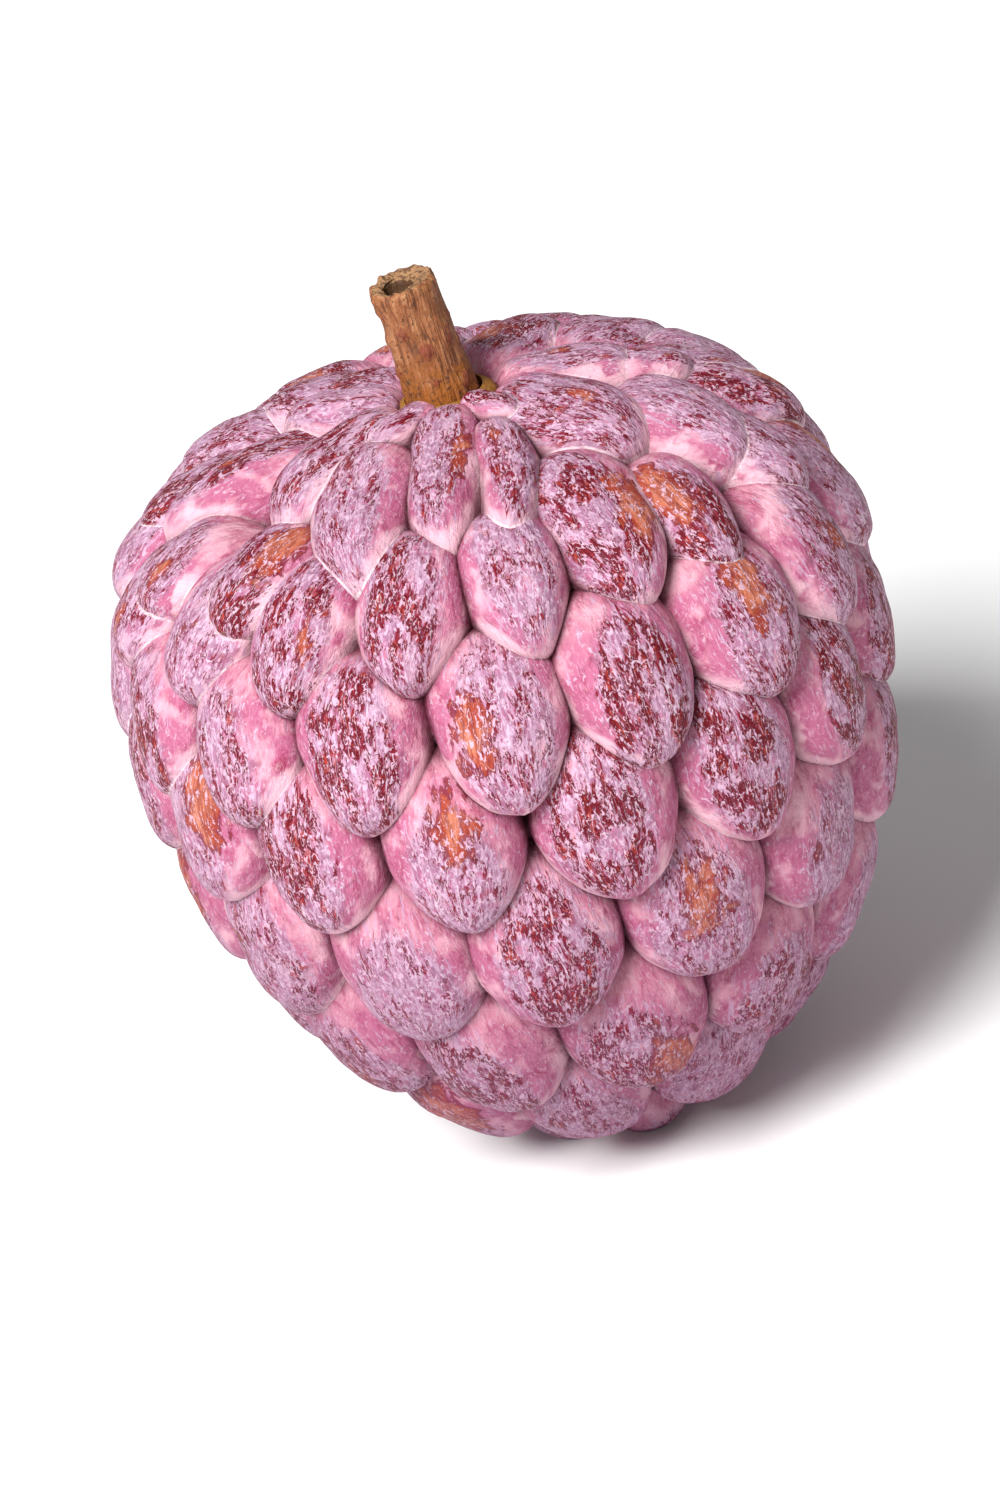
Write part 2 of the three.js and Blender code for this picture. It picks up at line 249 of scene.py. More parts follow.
def ring_turn(k, count, step):
    """Even steps across the front; the back takes up the rest of the circle."""
    front = FRONT_REACH * step
    if k <= FRONT_REACH:
        return k * step
    if k >= count - FRONT_REACH:
        return 360 - (count - k) * step
    return front + (k - FRONT_REACH) * (360 - 2 * front) / (count - 2 * FRONT_REACH)


def carpel_list():
    """Every carpel of the fruit, with the same draws as the CAD."""
    draw = numbers_from(SEED)

    def vary(amount):
        return (draw() * 2 - 1) * amount

    places = [(*one, CROWN_SHARE) for one in CROWN]
    for to, pitch, tilt, sag, count, first, step, skip in RINGS:
        for k in range(count):
            if k in skip:
                continue
            turn = first + ring_turn(k, count, step)
            side = math.sin(math.radians(turn))
            end = to - tilt * side + sag * side * side
            girth = 2 * math.pi * float(skin_at(end - pitch * GIRTH_PITCHES)[0])
            places.append((turn, end - pitch * REACH_PITCHES - UNDERLAP, end, girth / count, 0, 1))
    shaping = np.random.default_rng(SEED)
    carpels = []
    for turn, start, end, width, skew, share in places:
        carpels.append({
            "turn": math.radians(turn + vary(VARY_TURN * share)),
            "skew": math.radians(skew),
            "from": start,
            "to": end + vary(VARY_PATH * share),
            "half_width": width / 2 * CARPEL_WIDEN * (1 + vary(VARY_WIDTH)),
            "rise": CARPEL_RISE * (1 + vary(VARY_RISE)),
            "waves": shaping.uniform(0, 2 * math.pi, len(OUTLINE_WAVES)),
            "own": shaping.uniform(0, 1, OWN_DRAWS),
        })
    for carpel in carpels:
        length = carpel["to"] - carpel["from"]
        free = carpel["from"] < FREE_FROM
        crest_share = FREE_CREST_SHARE if free else CREST_SHARE
        carpel["lower"] = length * (1 - crest_share)
        carpel["upper"] = length * crest_share
        carpel["crest"] = carpel["to"] - carpel["lower"]
        carpel["skew"] /= length
        carpel["tuck"] = FREE_TUCK if free else UPPER_TUCK
        carpel["powers"] = (FREE_TIP_POWER, FREE_TIP_POWER) if free else (SIDE_POWER, TIP_POWER)
        carpel["corners"] = (FREE_CORNER, FREE_CORNER) if free else (UPPER_CORNER, LOWER_CORNER)
    return carpels


def outline_wave(carpel, around):
    return 1 + sum(
        share * np.sin(count * around + start)
        for (count, share), start in zip(OUTLINE_WAVES, carpel["waves"])
    )


def carpel_ring(carpel, across, along):
    """0 at a carpel's crest, 1 at its outline, and the direction as seen from the crest."""
    side = across / carpel["half_width"]
    down = along / np.where(along > 0, carpel["lower"], carpel["upper"])
    around = np.arctan2(down, side)
    corner = np.where(down > 0, carpel["corners"][1], carpel["corners"][0])
    ring = (np.abs(side) ** corner + np.abs(down) ** corner) ** (1 / corner)
    return ring / outline_wave(carpel, around), around


def carpel_height(carpel, across, along):
    """Height of a carpel's skin over the outer form."""
    ring, around = carpel_ring(carpel, across, along)
    lift = np.where(
        along > 0,
        TIP_LIFT * along / carpel["lower"],
        -carpel["tuck"] * (along / carpel["upper"]) ** 2,
    )
    end_power = np.where(along > 0, carpel["powers"][1], carpel["powers"][0])
    power = SIDE_POWER + (end_power - SIDE_POWER) * np.sin(around) ** 2
    return lift - carpel["rise"] * (1 - (1 - np.minimum(ring, 1) ** power) ** DOME_ROUND)


def carpel_mesh(carpel):
    """A closed shield: dome, edge and root."""
    spokes = CARPEL_SPOKES
    steps = np.linspace(0, 1, CARPEL_RINGS + 1)[1:]
    rings = 1 - (1 - steps) ** RIM_CROWDING
    turns = np.linspace(0, 2 * math.pi, spokes, endpoint=False) + math.pi / 2
    ring, around = np.meshgrid(rings, turns, indexing="ij")
    side = np.cos(around)
    down = np.sin(around)
    corner = np.where(down > 0, carpel["corners"][1], carpel["corners"][0])
    edge = (np.abs(side) ** corner + np.abs(down) ** corner) ** (-1 / corner)
    reach = ring * edge * outline_wave(carpel, around)
    across = carpel["half_width"] * reach * side
    along = np.where(down > 0, carpel["lower"], carpel["upper"]) * reach * down
    turn, crest = carpel["turn"] + carpel["skew"] * along, carpel["crest"]
    zero = np.zeros(1)
    root = np.full(spokes, -ROOT_DEPTH)
    top = over_skin(turn, crest + along, across, carpel_height(carpel, across, along))
    points = np.concatenate([
        over_skin(carpel["turn"], zero + crest, zero, zero),
        top.reshape(-1, 3),
        over_skin(turn[-1], crest + along[-1] * ROOT_RING, across[-1] * ROOT_RING, root),
        over_skin(carpel["turn"], zero + crest, zero, zero - ROOT_DEPTH),
    ])
    return points, rows_of_faces(CARPEL_RINGS + 1, spokes)


def rows_of_faces(rows, sides):
    """Faces of a closed body: a first point, rows of points around it, and a last point."""
    faces = []
    last = 1 + rows * sides
    for j in range(sides):
        k = (j + 1) % sides
        faces.append((0, 1 + k, 1 + j))
        for row in range(rows - 1):
            here = 1 + row * sides
            faces.append((here + j, here + k, here + sides + k, here + sides + j))
        faces.append((last - sides + j, last - sides + k, last))
    return faces


def turned_mesh(outline, sides):
    """A closed body turned from (radius, height) points that start and end on the axis."""
    turns = np.linspace(0, 2 * math.pi, sides, endpoint=False)
    points = [(0, 0, outline[0][1])]
    for radius, height in outline[1:-1]:
        points.extend((radius * math.sin(t), -radius * math.cos(t), height) for t in turns)
    points.append((0, 0, outline[-1][1]))
    return np.array(points, dtype=float), rows_of_faces(len(outline) - 2, sides)


def core_mesh():
    """The flesh inside the carpels, from the flat spot to the top."""
    outline = [(0, 0), (FOOT_RADIUS, 0)]
    for i in range(CORE_LEVELS + 1):
        path = CORE_TO + (CORE_FROM - CORE_TO) * i / CORE_LEVELS
        r, z, out_r, out_z = (float(value) for value in skin_at(path))
        outline.append((max(r - CORE_DEPTH * out_r, 0), z - CORE_DEPTH * out_z))
    outline.append((0, outline[-1][1]))
    return turned_mesh(outline, CORE_SIDES)


def button_mesh():
    """The corky button that the stem grows from."""
    outline = [(radius, height) for height, radius in BUTTON_PROFILE]
    points, faces = turned_mesh([(0, outline[0][1]), *outline, (0, outline[-1][1])], CORE_SIDES)
    return points + (STEM_SHIFT, 0, 0), faces


def add_object(name, points, faces, carpel=-1):
    """A Blender object whose faces remember which carpel they belong to."""
    mesh = bpy.data.meshes.new(name)
    mesh.from_pydata(points.tolist(), [], faces)
    owner = mesh.attributes.new("carpel", "INT", "FACE")
    owner.data.foreach_set("value", np.full(len(faces), carpel, dtype=np.int32))
    mesh.update()
    made = bpy.data.objects.new(name, mesh)
    bpy.context.scene.collection.objects.link(made)
    return made


def combine(base, others, operation):
    """Joins others to base, or cuts them from it, and deletes them."""
    group = bpy.data.collections.new("others")
    bpy.context.scene.collection.children.link(group)
    for other in others:
        bpy.context.scene.collection.objects.unlink(other)
        group.objects.link(other)
    modifier = base.modifiers.new(operation, "BOOLEAN")
    modifier.operation = operation
    modifier.operand_type = "COLLECTION"
    modifier.collection = group
    modifier.solver = "MANIFOLD"
    view = bpy.context.evaluated_depsgraph_get()
    mesh = bpy.data.meshes.new_from_object(base.evaluated_get(view))
    mesh.materials.clear()
    base.modifiers.clear()
    base.data = mesh
    for other in others:
        bpy.data.objects.remove(other)
    bpy.data.collections.remove(group)


def vertex_array(mesh):
    values = np.empty(len(mesh.vertices) * 3)
    mesh.vertices.foreach_get("co", values)
    return values.reshape(-1, 3)


def set_vertices(mesh, points):
    mesh.vertices.foreach_set("co", np.asarray(points, dtype=np.float32).ravel())
    mesh.update()


# Low bumps in the skin: wave length and height in millimetres. They fade out towards the
# ground, between two heights.
SKIN_LUMPS = ((9.0, 0.42), (3.6, 0.16), (1.5, 0.05))
LUMP_OFFSET = Vector((7.0, 3.0, 11.0))
LUMPS_FROM, LUMPS_FULL = 0.2, 3.0


def lumps_at(point, lumps):
    return sum(
        height * noise.noise(Vector(point) / length + LUMP_OFFSET) for length, height in lumps
    )


# Each carpel's markings lie this many millimetres further on, so that no two are the same.
GRAIN_STRIDE = 40.0

# The grain draws together towards a carpel's tip and top, from one place down it to another.
FAN_TO_TIP = 0.5
FAN_TO_TOP = 0.3
FAN_FROM, FAN_FULL = 0.1, 1.1

# Creases are found by probing this far off, and take no gentler a slope than this.
EDGE_PROBE = 0.15
LEAST_EDGE_SLOPE = 0.25
DOME_STEPS = 16

# The worn area of a carpel and its bared patch, in half widths and lengths of the carpel,
# how far each wanders from the middle, and how worn the least worn carpel is.
WORN_HALF_WIDTH = 0.82
WORN_HALF_LENGTH = 1.08
WORN_DOWN = 0.14
WORN_WANDER = 0.4
PATCH_HALF_WIDTH = 0.46
PATCH_HALF_LENGTH = 0.62
PATCH_WANDER = 0.7
LEAST_WEAR = 0.36
TIP_WANDER = 2.0


def heights_over_skin(carpels, angle, path):
    """Each carpel's height at places on the skin, with its own across and along there."""
    turn_radius = np.maximum(skin_at(path)[0], LEAST_TURN_RADIUS)
    heights = np.full((len(carpels), len(angle)), -ROOT_DEPTH)
    places = np.empty((len(carpels), len(angle), 2))
    for i, carpel in enumerate(carpels):
        along = path - carpel["crest"]
        off = angle - carpel["turn"] - carpel["skew"] * along
        places[i, :, 0] = ((off + math.pi) % (2 * math.pi) - math.pi) * turn_radius
        places[i, :, 1] = along
        inside = carpel_ring(carpel, *places[i].T)[0] < 1
        heights[i, inside] = carpel_height(carpel, *places[i, inside].T)
    return heights, places


def lead_over_others(heights):
    """How far each carpel stands over the highest of the others."""
    second, first = np.partition(heights, -2, axis=0)[-2:]
    return heights - np.where(heights >= first, second, first)


def crease_distance(carpels, angle, path, heights):
    """Millimetres over each carpel's surface from the crease where it meets the next."""
    lead = lead_over_others(heights)
    turned = angle + EDGE_PROBE / np.maximum(skin_at(path)[0], LEAST_TURN_RADIUS)
    probes = [
        heights_over_skin(carpels, turned, path)[0],
        heights_over_skin(carpels, angle, path + EDGE_PROBE)[0],
    ]
    gain = np.hypot(*(lead_over_others(probe) - lead for probe in probes)) / EDGE_PROBE
    own_slope = np.hypot(*(probe - heights for probe in probes)) / EDGE_PROBE
    return np.maximum(lead, 0) / np.maximum(gain, LEAST_EDGE_SLOPE) * np.hypot(1, own_slope)


def dome_stretch(carpel, across, along):
    """The way from the crest over the dome, as a multiple of the way under it."""
    shares = np.linspace(0, 1, DOME_STEPS + 1)[:, None]
    heights = carpel_height(carpel, shares * across, shares * along)
    step = np.maximum(np.hypot(across, along), EDGE_PROBE) / DOME_STEPS
    return np.hypot(step, np.diff(heights, axis=0)).mean(0) / step


def corner_owners(mesh):
    """Each face corner's vertex, and the carpel that its face belongs to."""
    corner_vertex = np.empty(len(mesh.loops), dtype=np.int32)
    mesh.loops.foreach_get("vertex_index", corner_vertex)
    owners = np.empty(len(mesh.polygons), dtype=np.int32)
    mesh.attributes["carpel"].data.foreach_get("value", owners)
    sizes = np.empty(len(mesh.polygons), dtype=np.int32)
    mesh.polygons.foreach_get("loop_total", sizes)
    return corner_vertex, np.repeat(owners, sizes)


def note_carpel_places(mesh, carpels):
    """Per face corner: where it lies on its carpel, for the skin's markings.

    carpel_grain: millimetres across and down over the dome, fanned in to its two ends.
    carpel_marks: the worn area and the bared patch, 1 in their middles and 0 at their
    edges, and the millimetres from the tip.
    carpel_place: -1 to 1 down, the millimetres from the crease, and how worn it is, 0 off
    the carpels.
    """
    points = vertex_array(mesh)
    corner_vertex, corner_owner = corner_owners(mesh)
    angle, path = skin_place(points)
    heights, places = heights_over_skin(carpels, angle, path)
    crease = crease_distance(carpels, angle, path, heights)
    grain = points[corner_vertex]
    marks = np.tile((-1.0, -1.0, GRAIN_STRIDE), (len(corner_vertex), 1))
    place = np.tile((0.0, GRAIN_STRIDE, 0.0), (len(corner_vertex), 1))
    for i, carpel in enumerate(carpels):
        mine = np.nonzero(corner_owner == i)[0]
        vertex = corner_vertex[mine]
        across, along = places[i, vertex].T
        side = across / carpel["half_width"]
        down = along / np.where(along > 0, carpel["lower"], carpel["upper"])
        stretch = dome_stretch(carpel, across, along)
        fan = 1 - FAN_TO_TIP * ease(down, FAN_FROM, FAN_FULL)
        fan = fan - FAN_TO_TOP * ease(-down, FAN_FROM, FAN_FULL)
        zero = np.zeros(len(mine))
        further = along * stretch + GRAIN_STRIDE * i
        grain[mine] = np.stack([across * stretch / fan, further, zero], -1)
        worn_right, worn_low, patch_right, patch_low, wear, patch_size = carpel["own"]
        worn_side = side - WORN_WANDER * (worn_right - 0.5)
        worn_down = down - WORN_WANDER * (worn_low - 0.5) - WORN_DOWN
        patch_side = side - PATCH_WANDER * (patch_right - 0.5)
        patch_down = down - PATCH_WANDER * (patch_low - 0.5)
        marks[mine] = np.stack([
            1 - np.hypot(worn_side / WORN_HALF_WIDTH, worn_down / WORN_HALF_LENGTH),
            patch_size - np.hypot(patch_side / PATCH_HALF_WIDTH, patch_down / PATCH_HALF_LENGTH),
            np.hypot(across, along - carpel["lower"]) + TIP_WANDER * patch_low,
        ], -1)
        wear = LEAST_WEAR + wear * (1 - LEAST_WEAR)
        place[mine] = np.stack([down, crease[i, vertex], zero + wear], -1)
    for name, values in (("grain", grain), ("marks", marks), ("place", place)):
        layer = mesh.attributes.new(f"carpel_{name}", "FLOAT_VECTOR", "CORNER")
        layer.data.foreach_set("vector", values.astype(np.float32).ravel())


def smooth_through(points, steps):
    """A curve through the points, with the same number of steps between each pair."""
    points = np.array([points[0], *points, points[-1]], dtype=float)
    curve = []
    for a, b, c, d in zip(points, points[1:], points[2:], points[3:]):
        for t in np.arange(steps) / steps:
            curve.append(0.5 * (
                2 * b + (c - a) * t + (2 * a - 5 * b + 4 * c - d) * t**2
                + (3 * b - a - 3 * c + d) * t**3
            ))
    curve.append(points[-2])
    return curve


def lean_stem(points):
    """Tips the stem about its seat, and sets it on the fruit."""
    x = points[:, 0] * math.cos(STEM_LEAN) + points[:, 2] * math.sin(STEM_LEAN)
    z = -points[:, 0] * math.sin(STEM_LEAN) + points[:, 2] * math.cos(STEM_LEAN)
    return np.stack([x + STEM_SHIFT, points[:, 1], z + STEM_SEAT], -1)


def seat_cutter():
    """The stem's outline, wider by the seat gap, to cut its seat in the fruit."""
    outline = [(0, 0), *((radius + SEAT_GAP, up) for up, radius in STEM_PROFILE)]
    outline.append((0, STEM_PROFILE[-1][0]))
    points, faces = turned_mesh(outline, CORE_SIDES)
    return add_object("seat", lean_stem(points), faces)


# What is cut off below the flat spot, and the angles in degrees past which edges are sharp.
GROUND_RADIUS = 100.0
GROUND_DEPTH = 50.0
GROUND_SIDES = 8
SKIN_SHARP = 38
STEM_SHARP = 60


def ground_cutter():
    """Everything below the flat spot."""
    outline = [(0, -GROUND_DEPTH), (GROUND_RADIUS, -GROUND_DEPTH), (GROUND_RADIUS, 0), (0, 0)]
    points, faces = turned_mesh(outline, GROUND_SIDES)
    return add_object("ground", points, faces)


def finish_mesh(made, sharp_angle):
    """To metres, smooth, with creases left sharp."""
    set_vertices(made.data, vertex_array(made.data) * MM)
    made.data.shade_smooth()
    made.data.set_sharp_from_angle(angle=math.radians(sharp_angle))


def make_fruit():
    carpels = carpel_list()
    fruit = add_object("fruit_skin", *core_mesh())
    shields = [
        add_object(f"carpel_{i}", *carpel_mesh(carpel), i) for i, carpel in enumerate(carpels)
    ]
    combine(fruit, [*shields, add_object("button", *button_mesh())], "UNION")
    combine(fruit, [ground_cutter(), seat_cutter()], "DIFFERENCE")
    mesh = fruit.data
    note_carpel_places(mesh, carpels)
    points = vertex_array(mesh)
    normals = np.empty(len(points) * 3, dtype=np.float32)
    mesh.vertices.foreach_get("normal", normals)
    moved = [
        Vector(p) + Vector(n) * lumps_at(p, SKIN_LUMPS) * float(ease(p[2], LUMPS_FROM, LUMPS_FULL))
        for p, n in zip(points, normals.reshape(-1, 3))
    ]
    set_vertices(mesh, moved)
    finish_mesh(fruit, SKIN_SHARP)
    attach(fruit, "root")
    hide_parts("fruit")
    return fruit


# The stem's fine form, in millimetres. Fibre ridges: width, length, height. Cork lumps at
# its foot: wave length, height. Heights above the seat where each form starts and is full.
STEM_SPOKES = 132
STEM_STEPS = 9
FIBRE_RIDGES = ((0.42, 12.0, 0.10), (0.22, 5.0, 0.05), (1.6, 4.0, 0.22))
FIBRES_FROM, FIBRES_FULL = 1.0, 6.0
CORK_LUMPS = ((1.6, 0.42), (0.7, 0.2))
CORK_FROM, CORK_FULL = 1.5, 3.0
RIM_FROM, RIM_FULL = 17.4, 18.6

# Warts: how many, the heights they lie between, their least share of the full size.
STEM_WARTS = 22
WARTS_FROM, WARTS_TO = 5.0, 18.0
LEAST_WART = 0.5
WART_RADIUS = 0.75
WART_HEIGHT = 0.34
WART_SEED = SEED + 5

# Knobs of the cut rim: height, how much of it stays in the hollow, waves across and up.
RIM_KNOBS = 0.3
HOLLOW_KNOBS = 0.4
KNOBS_AROUND = 2.6
KNOBS_LEVEL = 1.7
KNOBS_UP = 1.4

# Zones of the stem's surface, and how far the cut rim reaches down into the hollow.
BARK, RIM, HOLLOW = 0.0, 1.0, 2.0
RIM_DEPTH = 0.3

# What is this little wider than the hollow's mouth moves off centre with it. The hollow's
# floor drops, at this share of its radius, by this much.
MOUTH_SLACK = 0.1
FLOOR_SHARE = 0.5
FLOOR_DROP = 0.15


def stem_rows():
    """Height, radius and zone of each row of the stem, up the outside and down the hollow."""
    outside = smooth_through(STEM_PROFILE, STEM_STEPS)
    inside = smooth_through((STEM_PROFILE[-1], *STEM_HOLLOW), STEM_STEPS)[1:]
    rows = [(up, radius, BARK) for up, radius in outside]
    for up, radius in inside:
        rows.append((up, radius, RIM if up > STEM_HOLLOW[0][0] - RIM_DEPTH else HOLLOW))
    rows.append((inside[-1][0] - FLOOR_DROP, inside[-1][1] * FLOOR_SHARE, HOLLOW))
    return rows


def bark_relief(here, radius, turn, up, warts):
    """How far the bark stands out at a place, and how much of that place is on a wart."""
    shaft = float(ease(up, FIBRES_FROM, FIBRES_FULL))
    out = 0.0
    for width, length, height in FIBRE_RIDGES:
        place = Vector((here.x / width, here.y / width, up / length))
        out += height * noise.noise(place + LUMP_OFFSET) * shaft
    out += lumps_at(here, CORK_LUMPS) * (1 - shaft) * float(ease(up, CORK_FROM, CORK_FULL))
    on_wart = 0.0
    for at, height, share in warts:
        off = (turn - at + math.pi) % (2 * math.pi) - math.pi
        away = math.hypot(off * radius, up - height) / (WART_RADIUS * share)
        out += WART_HEIGHT * share * math.exp(-away * away)
        on_wart += math.exp(-away * away)
    return out, on_wart


def make_stem():
    rows = stem_rows()
    draw = np.random.default_rng(WART_SEED)
    warts = np.stack([
        draw.uniform(0, 2 * math.pi, STEM_WARTS),
        draw.uniform(WARTS_FROM, WARTS_TO, STEM_WARTS),
        draw.uniform(LEAST_WART, 1.0, STEM_WARTS),
    ], -1)
    points = [Vector((0, 0, 0))]
    zones = [BARK]
    wartiness = [0.0]
    for up, radius, zone in rows:
        rim = HOLLOW_KNOBS if zone == HOLLOW else float(ease(up, RIM_FROM, RIM_FULL))
        in_hollow = zone != BARK and radius < STEM_HOLLOW[0][1] + MOUTH_SLACK
        shift = -HOLLOW_SHIFT if in_hollow else 0
        for turn in np.linspace(0, 2 * math.pi, STEM_SPOKES, endpoint=False):
            ray = Vector((math.sin(turn), -math.cos(turn), 0))
            here = ray * radius + Vector((0, 0, up))
            out, on_wart = 0.0, 0.0
            if zone == BARK:
                out, on_wart = bark_relief(here, radius, turn, up, warts)
            around = Vector((ray.x * KNOBS_AROUND, ray.y * KNOBS_AROUND, KNOBS_LEVEL + zone))
            out += RIM_KNOBS * rim * noise.noise(around)
            lift = RIM_KNOBS * rim * noise.noise(here * KNOBS_UP + LUMP_OFFSET)
            points.append(ray * (radius + out) + Vector((shift, 0, up + lift)))
            zones.append(zone)
            wartiness.append(on_wart)
    points.append(Vector((-HOLLOW_SHIFT, 0, rows[-1][0])))
    zones.append(HOLLOW)
    wartiness.append(0.0)
    faces = rows_of_faces(len(rows), STEM_SPOKES)
    stem = add_object("stem_wood", lean_stem(np.array(points)), faces)
    for name, values in (("stem_zone", zones), ("stem_wart", wartiness)):
        layer = stem.data.attributes.new(name, "FLOAT", "POINT")
        layer.data.foreach_set("value", np.array(values, dtype=np.float32))
    finish_mesh(stem, STEM_SHARP)
    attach(stem, "root")
    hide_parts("stem")
    return stem


def linear(hex_colour):
    """sRGB hex to linear RGBA."""
    channels = [int(hex_colour[i:i + 2], 16) / 255 for i in (1, 3, 5)]
    curve = [c / 12.92 if c <= 0.04045 else ((c + 0.055) / 1.055) ** 2.4 for c in channels]
    return (*curve, 1.0)


def add(tree, kind, inputs=(), out=0, **settings):
    """Adds a node with its settings, and values or links on its inputs; gives an output."""
    made = tree.nodes.new(f"ShaderNode{kind}")
    for name, value in settings.items():
        setattr(made, name, value)
    for name, value in inputs.items() if isinstance(inputs, dict) else enumerate(inputs):
        if isinstance(value, bpy.types.NodeSocket):
            tree.links.new(value, made.inputs[name])
        else:
            made.inputs[name].default_value = value
    return made.outputs[out] if made.outputs else None


# A Mix node's sockets for colours: the colour under, the colour over it, and the result.
MIX_UNDER, MIX_OVER, MIX_RESULT = 6, 7, 2

# Clouds lie this far apart in the noise, so that no two are alike.
CLOUD_OFFSET = 17.0


def make_clouds(tree, grain, clouds):
    """Cloudy variations from 0 to 1, of widths and lengths in millimetres."""
    made = {}
    for number, (name, (width, length, detail, roughness, twist)) in enumerate(clouds.items()):
        scale = (1 / width, 1 / length, 1 / width)
        offset = (CLOUD_OFFSET * number, 0, 0)
        scaled = add(tree, "VectorMath", (grain, scale, offset), operation="MULTIPLY_ADD")
        made[name] = add(tree, "TexNoise", {
            "Vector": scaled, "Scale": 1.0, "Detail": detail, "Roughness": roughness,
            "Distortion": twist,
        })
    return made


def lay_coats(tree, base, coats, clouds, places):
    """Lays coats of colour: each where its cloud, raised in its place, passes its window."""
    skin = linear(base)
    for colour, strength, cloud, place, push, start, end in coats:
        level = add(tree, "Math", (places[place], push, clouds[cloud]), operation="MULTIPLY_ADD")
        mask = add(
            tree, "MapRange", (level, start, end, 0.0, strength), interpolation_type="SMOOTHSTEP",
        )
        sockets = {"Factor": mask, MIX_UNDER: skin, MIX_OVER: linear(colour)}
        skin = add(tree, "Mix", sockets, out=MIX_RESULT, data_type="RGBA")
    return skin


def low_relief(tree, clouds, weights, height):
    """Low relief from weighted clouds, so many millimetres high."""
    relief = 0.0
    for cloud, weight in weights:
        relief = add(tree, "Math", (clouds[cloud], weight, relief), operation="MULTIPLY_ADD")
    return add(tree, "Bump", {"Height": relief, "Strength": 1.0, "Distance": height * MM})


def new_material(name):
    material = bpy.data.materials.new(name)
    material.use_nodes = True
    tree = material.node_tree
    tree.nodes.clear()
    return material, tree


# Clouds in the skin: width and length in millimetres, detail, roughness, twist.
SKIN_CLOUDS = {
    "broad": (3.4, 4.6, 3.0, 0.5, 0.3),
    "soft": (1.7, 2.6, 4.0, 0.6, 0.6),
    "streaks": (0.8, 2.6, 3.0, 0.55, 0.8),
    "ragged": (0.9, 2.8, 6.0, 0.64, 0.7),
    "drift": (2.4, 4.4, 2.0, 0.5, 0.3),
    "worms": (0.40, 1.0, 2.0, 0.5, 1.2),
    "chips": (0.45, 0.8, 4.0, 0.6, 0.8),
    "patch": (1.6, 3.0, 5.0, 0.6, 0.6),
    "veins": (1.3, 6.0, 1.0, 0.5, 0.6),
    "smears": (0.55, 3.0, 4.0, 0.62, 1.0),
}

# Coats from the rind out: colour, strength, cloud, place, push there, window.
SKIN_BASE = "#B66686"
SKIN_COATS = (
    # Blushes of the live rind: peach near the crease above, pink and hot pink elsewhere.
    ("#D293A0", 0.65, "broad", "upper", 0.40, 0.62, 0.92),
    ("#A03C62", 0.70, "soft", "all", 0.0, 0.48, 0.70),
    ("#8E2048", 0.55, "streaks", "all", 0.0, 0.52, 0.72),
    ("#E2A8B8", 0.60, "broad", "all", 0.0, 0.48, 0.68),
    ("#E4B8C4", 0.35, "chips", "all", 0.0, 0.50, 0.68),
    ("#ECBECA", 0.80, "broad", "rim", 0.45, 0.52, 0.88),
    # Wax bloom over the crest, grey-lilac, with thin places.
    ("#9C7692", 0.85, "soft", "worn", 0.22, 0.52, 0.80),
    ("#744460", 0.40, "ragged", "worn", 0.10, 0.56, 0.74),
    ("#BE9AB2", 0.75, "chips", "worn", 0.10, 0.57, 0.66),
    # Bloom rubbed off: crimson islands and short dashes, with smears of bloom left between.
    ("#8E203A", 0.60, "soft", "wear", 0.30, 0.56, 0.80),
    ("#78081E", 0.92, "ragged", "wear", 0.26, 0.65, 0.70),
    ("#A63E2A", 0.75, "soft", "wear", 0.30, 0.70, 0.88),
    ("#BE98B2", 0.80, "smears", "worn", 0.04, 0.56, 0.61),
    ("#5E0618", 0.92, "worms", "wear", 0.24, 0.65, 0.69),
    # Rind bared to its orange flesh side, with a crimson border.
    ("#6C1022", 0.85, "patch", "patch", 0.50, 0.60, 0.65),
    ("#A4442E", 0.85, "patch", "patch", 0.50, 0.65, 0.76),
    ("#CC7E62", 0.75, "soft", "patch", 0.50, 0.66, 0.90),
    ("#7A2A2A", 0.60, "smears", "patch", 0.30, 0.66, 0.74),
    # Flecks of wax left on all of it.
    ("#D2AEC4", 0.80, "chips", "worn", 0.05, 0.61, 0.65),
    ("#D0B2C6", 0.75, "worms", "worn", 0.00, 0.65, 0.70),
    # Dead corky tips: ochre, with small slate spots.
    ("#86705A", 0.60, "soft", "tip", 0.40, 0.68, 0.84),
    ("#1A1623", 0.95, "worms", "tip", 0.50, 0.80, 0.85),
)

# Windows that turn a measure into a share: where the share starts and where it is full,
# and what it is at each if that isn't 0 and 1.
CREST = (0.0, 0.35, -1.5, 1.0)  # the worn area's value
WEAR_DRIFT = (0.38, 0.56, 0.15, 1.0)  # a cloud in which the wear comes and goes
UPPER_HALF = (0.3, -0.7)  # down the carpel
LOWER_HALF = (-0.1, 0.3)
NEAR_TIP = (2.6, 0.4)  # millimetres from the tip
NEAR_EDGE = (2.4, 0.4)  # millimetres from the crease
# The painted highlight along a lower lip, in millimetres from the crease.
LIP_HIGHLIGHT = (0.28, 0.14)
LIP_HIGHLIGHT_WHOLE = (0.40, 0.58, 0.2, 0.8)  # a cloud in which the painted lip highlight comes and goes
STRANDS = (0.1, 0.5, 0.0, 0.6)  # the worn area's value
CREASE_PAINTED_SHADE = (0.74, 0.36, 0.0, 0.9)  # how much of the sky a crease sees, for painted shade in closed creases
LOWER_PAINTED_SHADE = (58 * MM, 4 * MM, 0.0, 0.5)  # height; painted shade, darker towards the lower end

# A strand of wax runs where its cloud is within this width of this middle value.
STRAND_MIDDLE, STRAND_WIDTH = 0.5, 0.004

# How far a crease is felt for, in millimetres, and in how many tries, for the painted shade in
# closed creases.
CREASE_REACH = 2.2
CREASE_SAMPLES = 6

# The corky button is where the wear is under this, which is off the carpels, and above this
# height in millimetres.
OFF_CARPELS = 0.01
BUTTON_FROM = 78.0

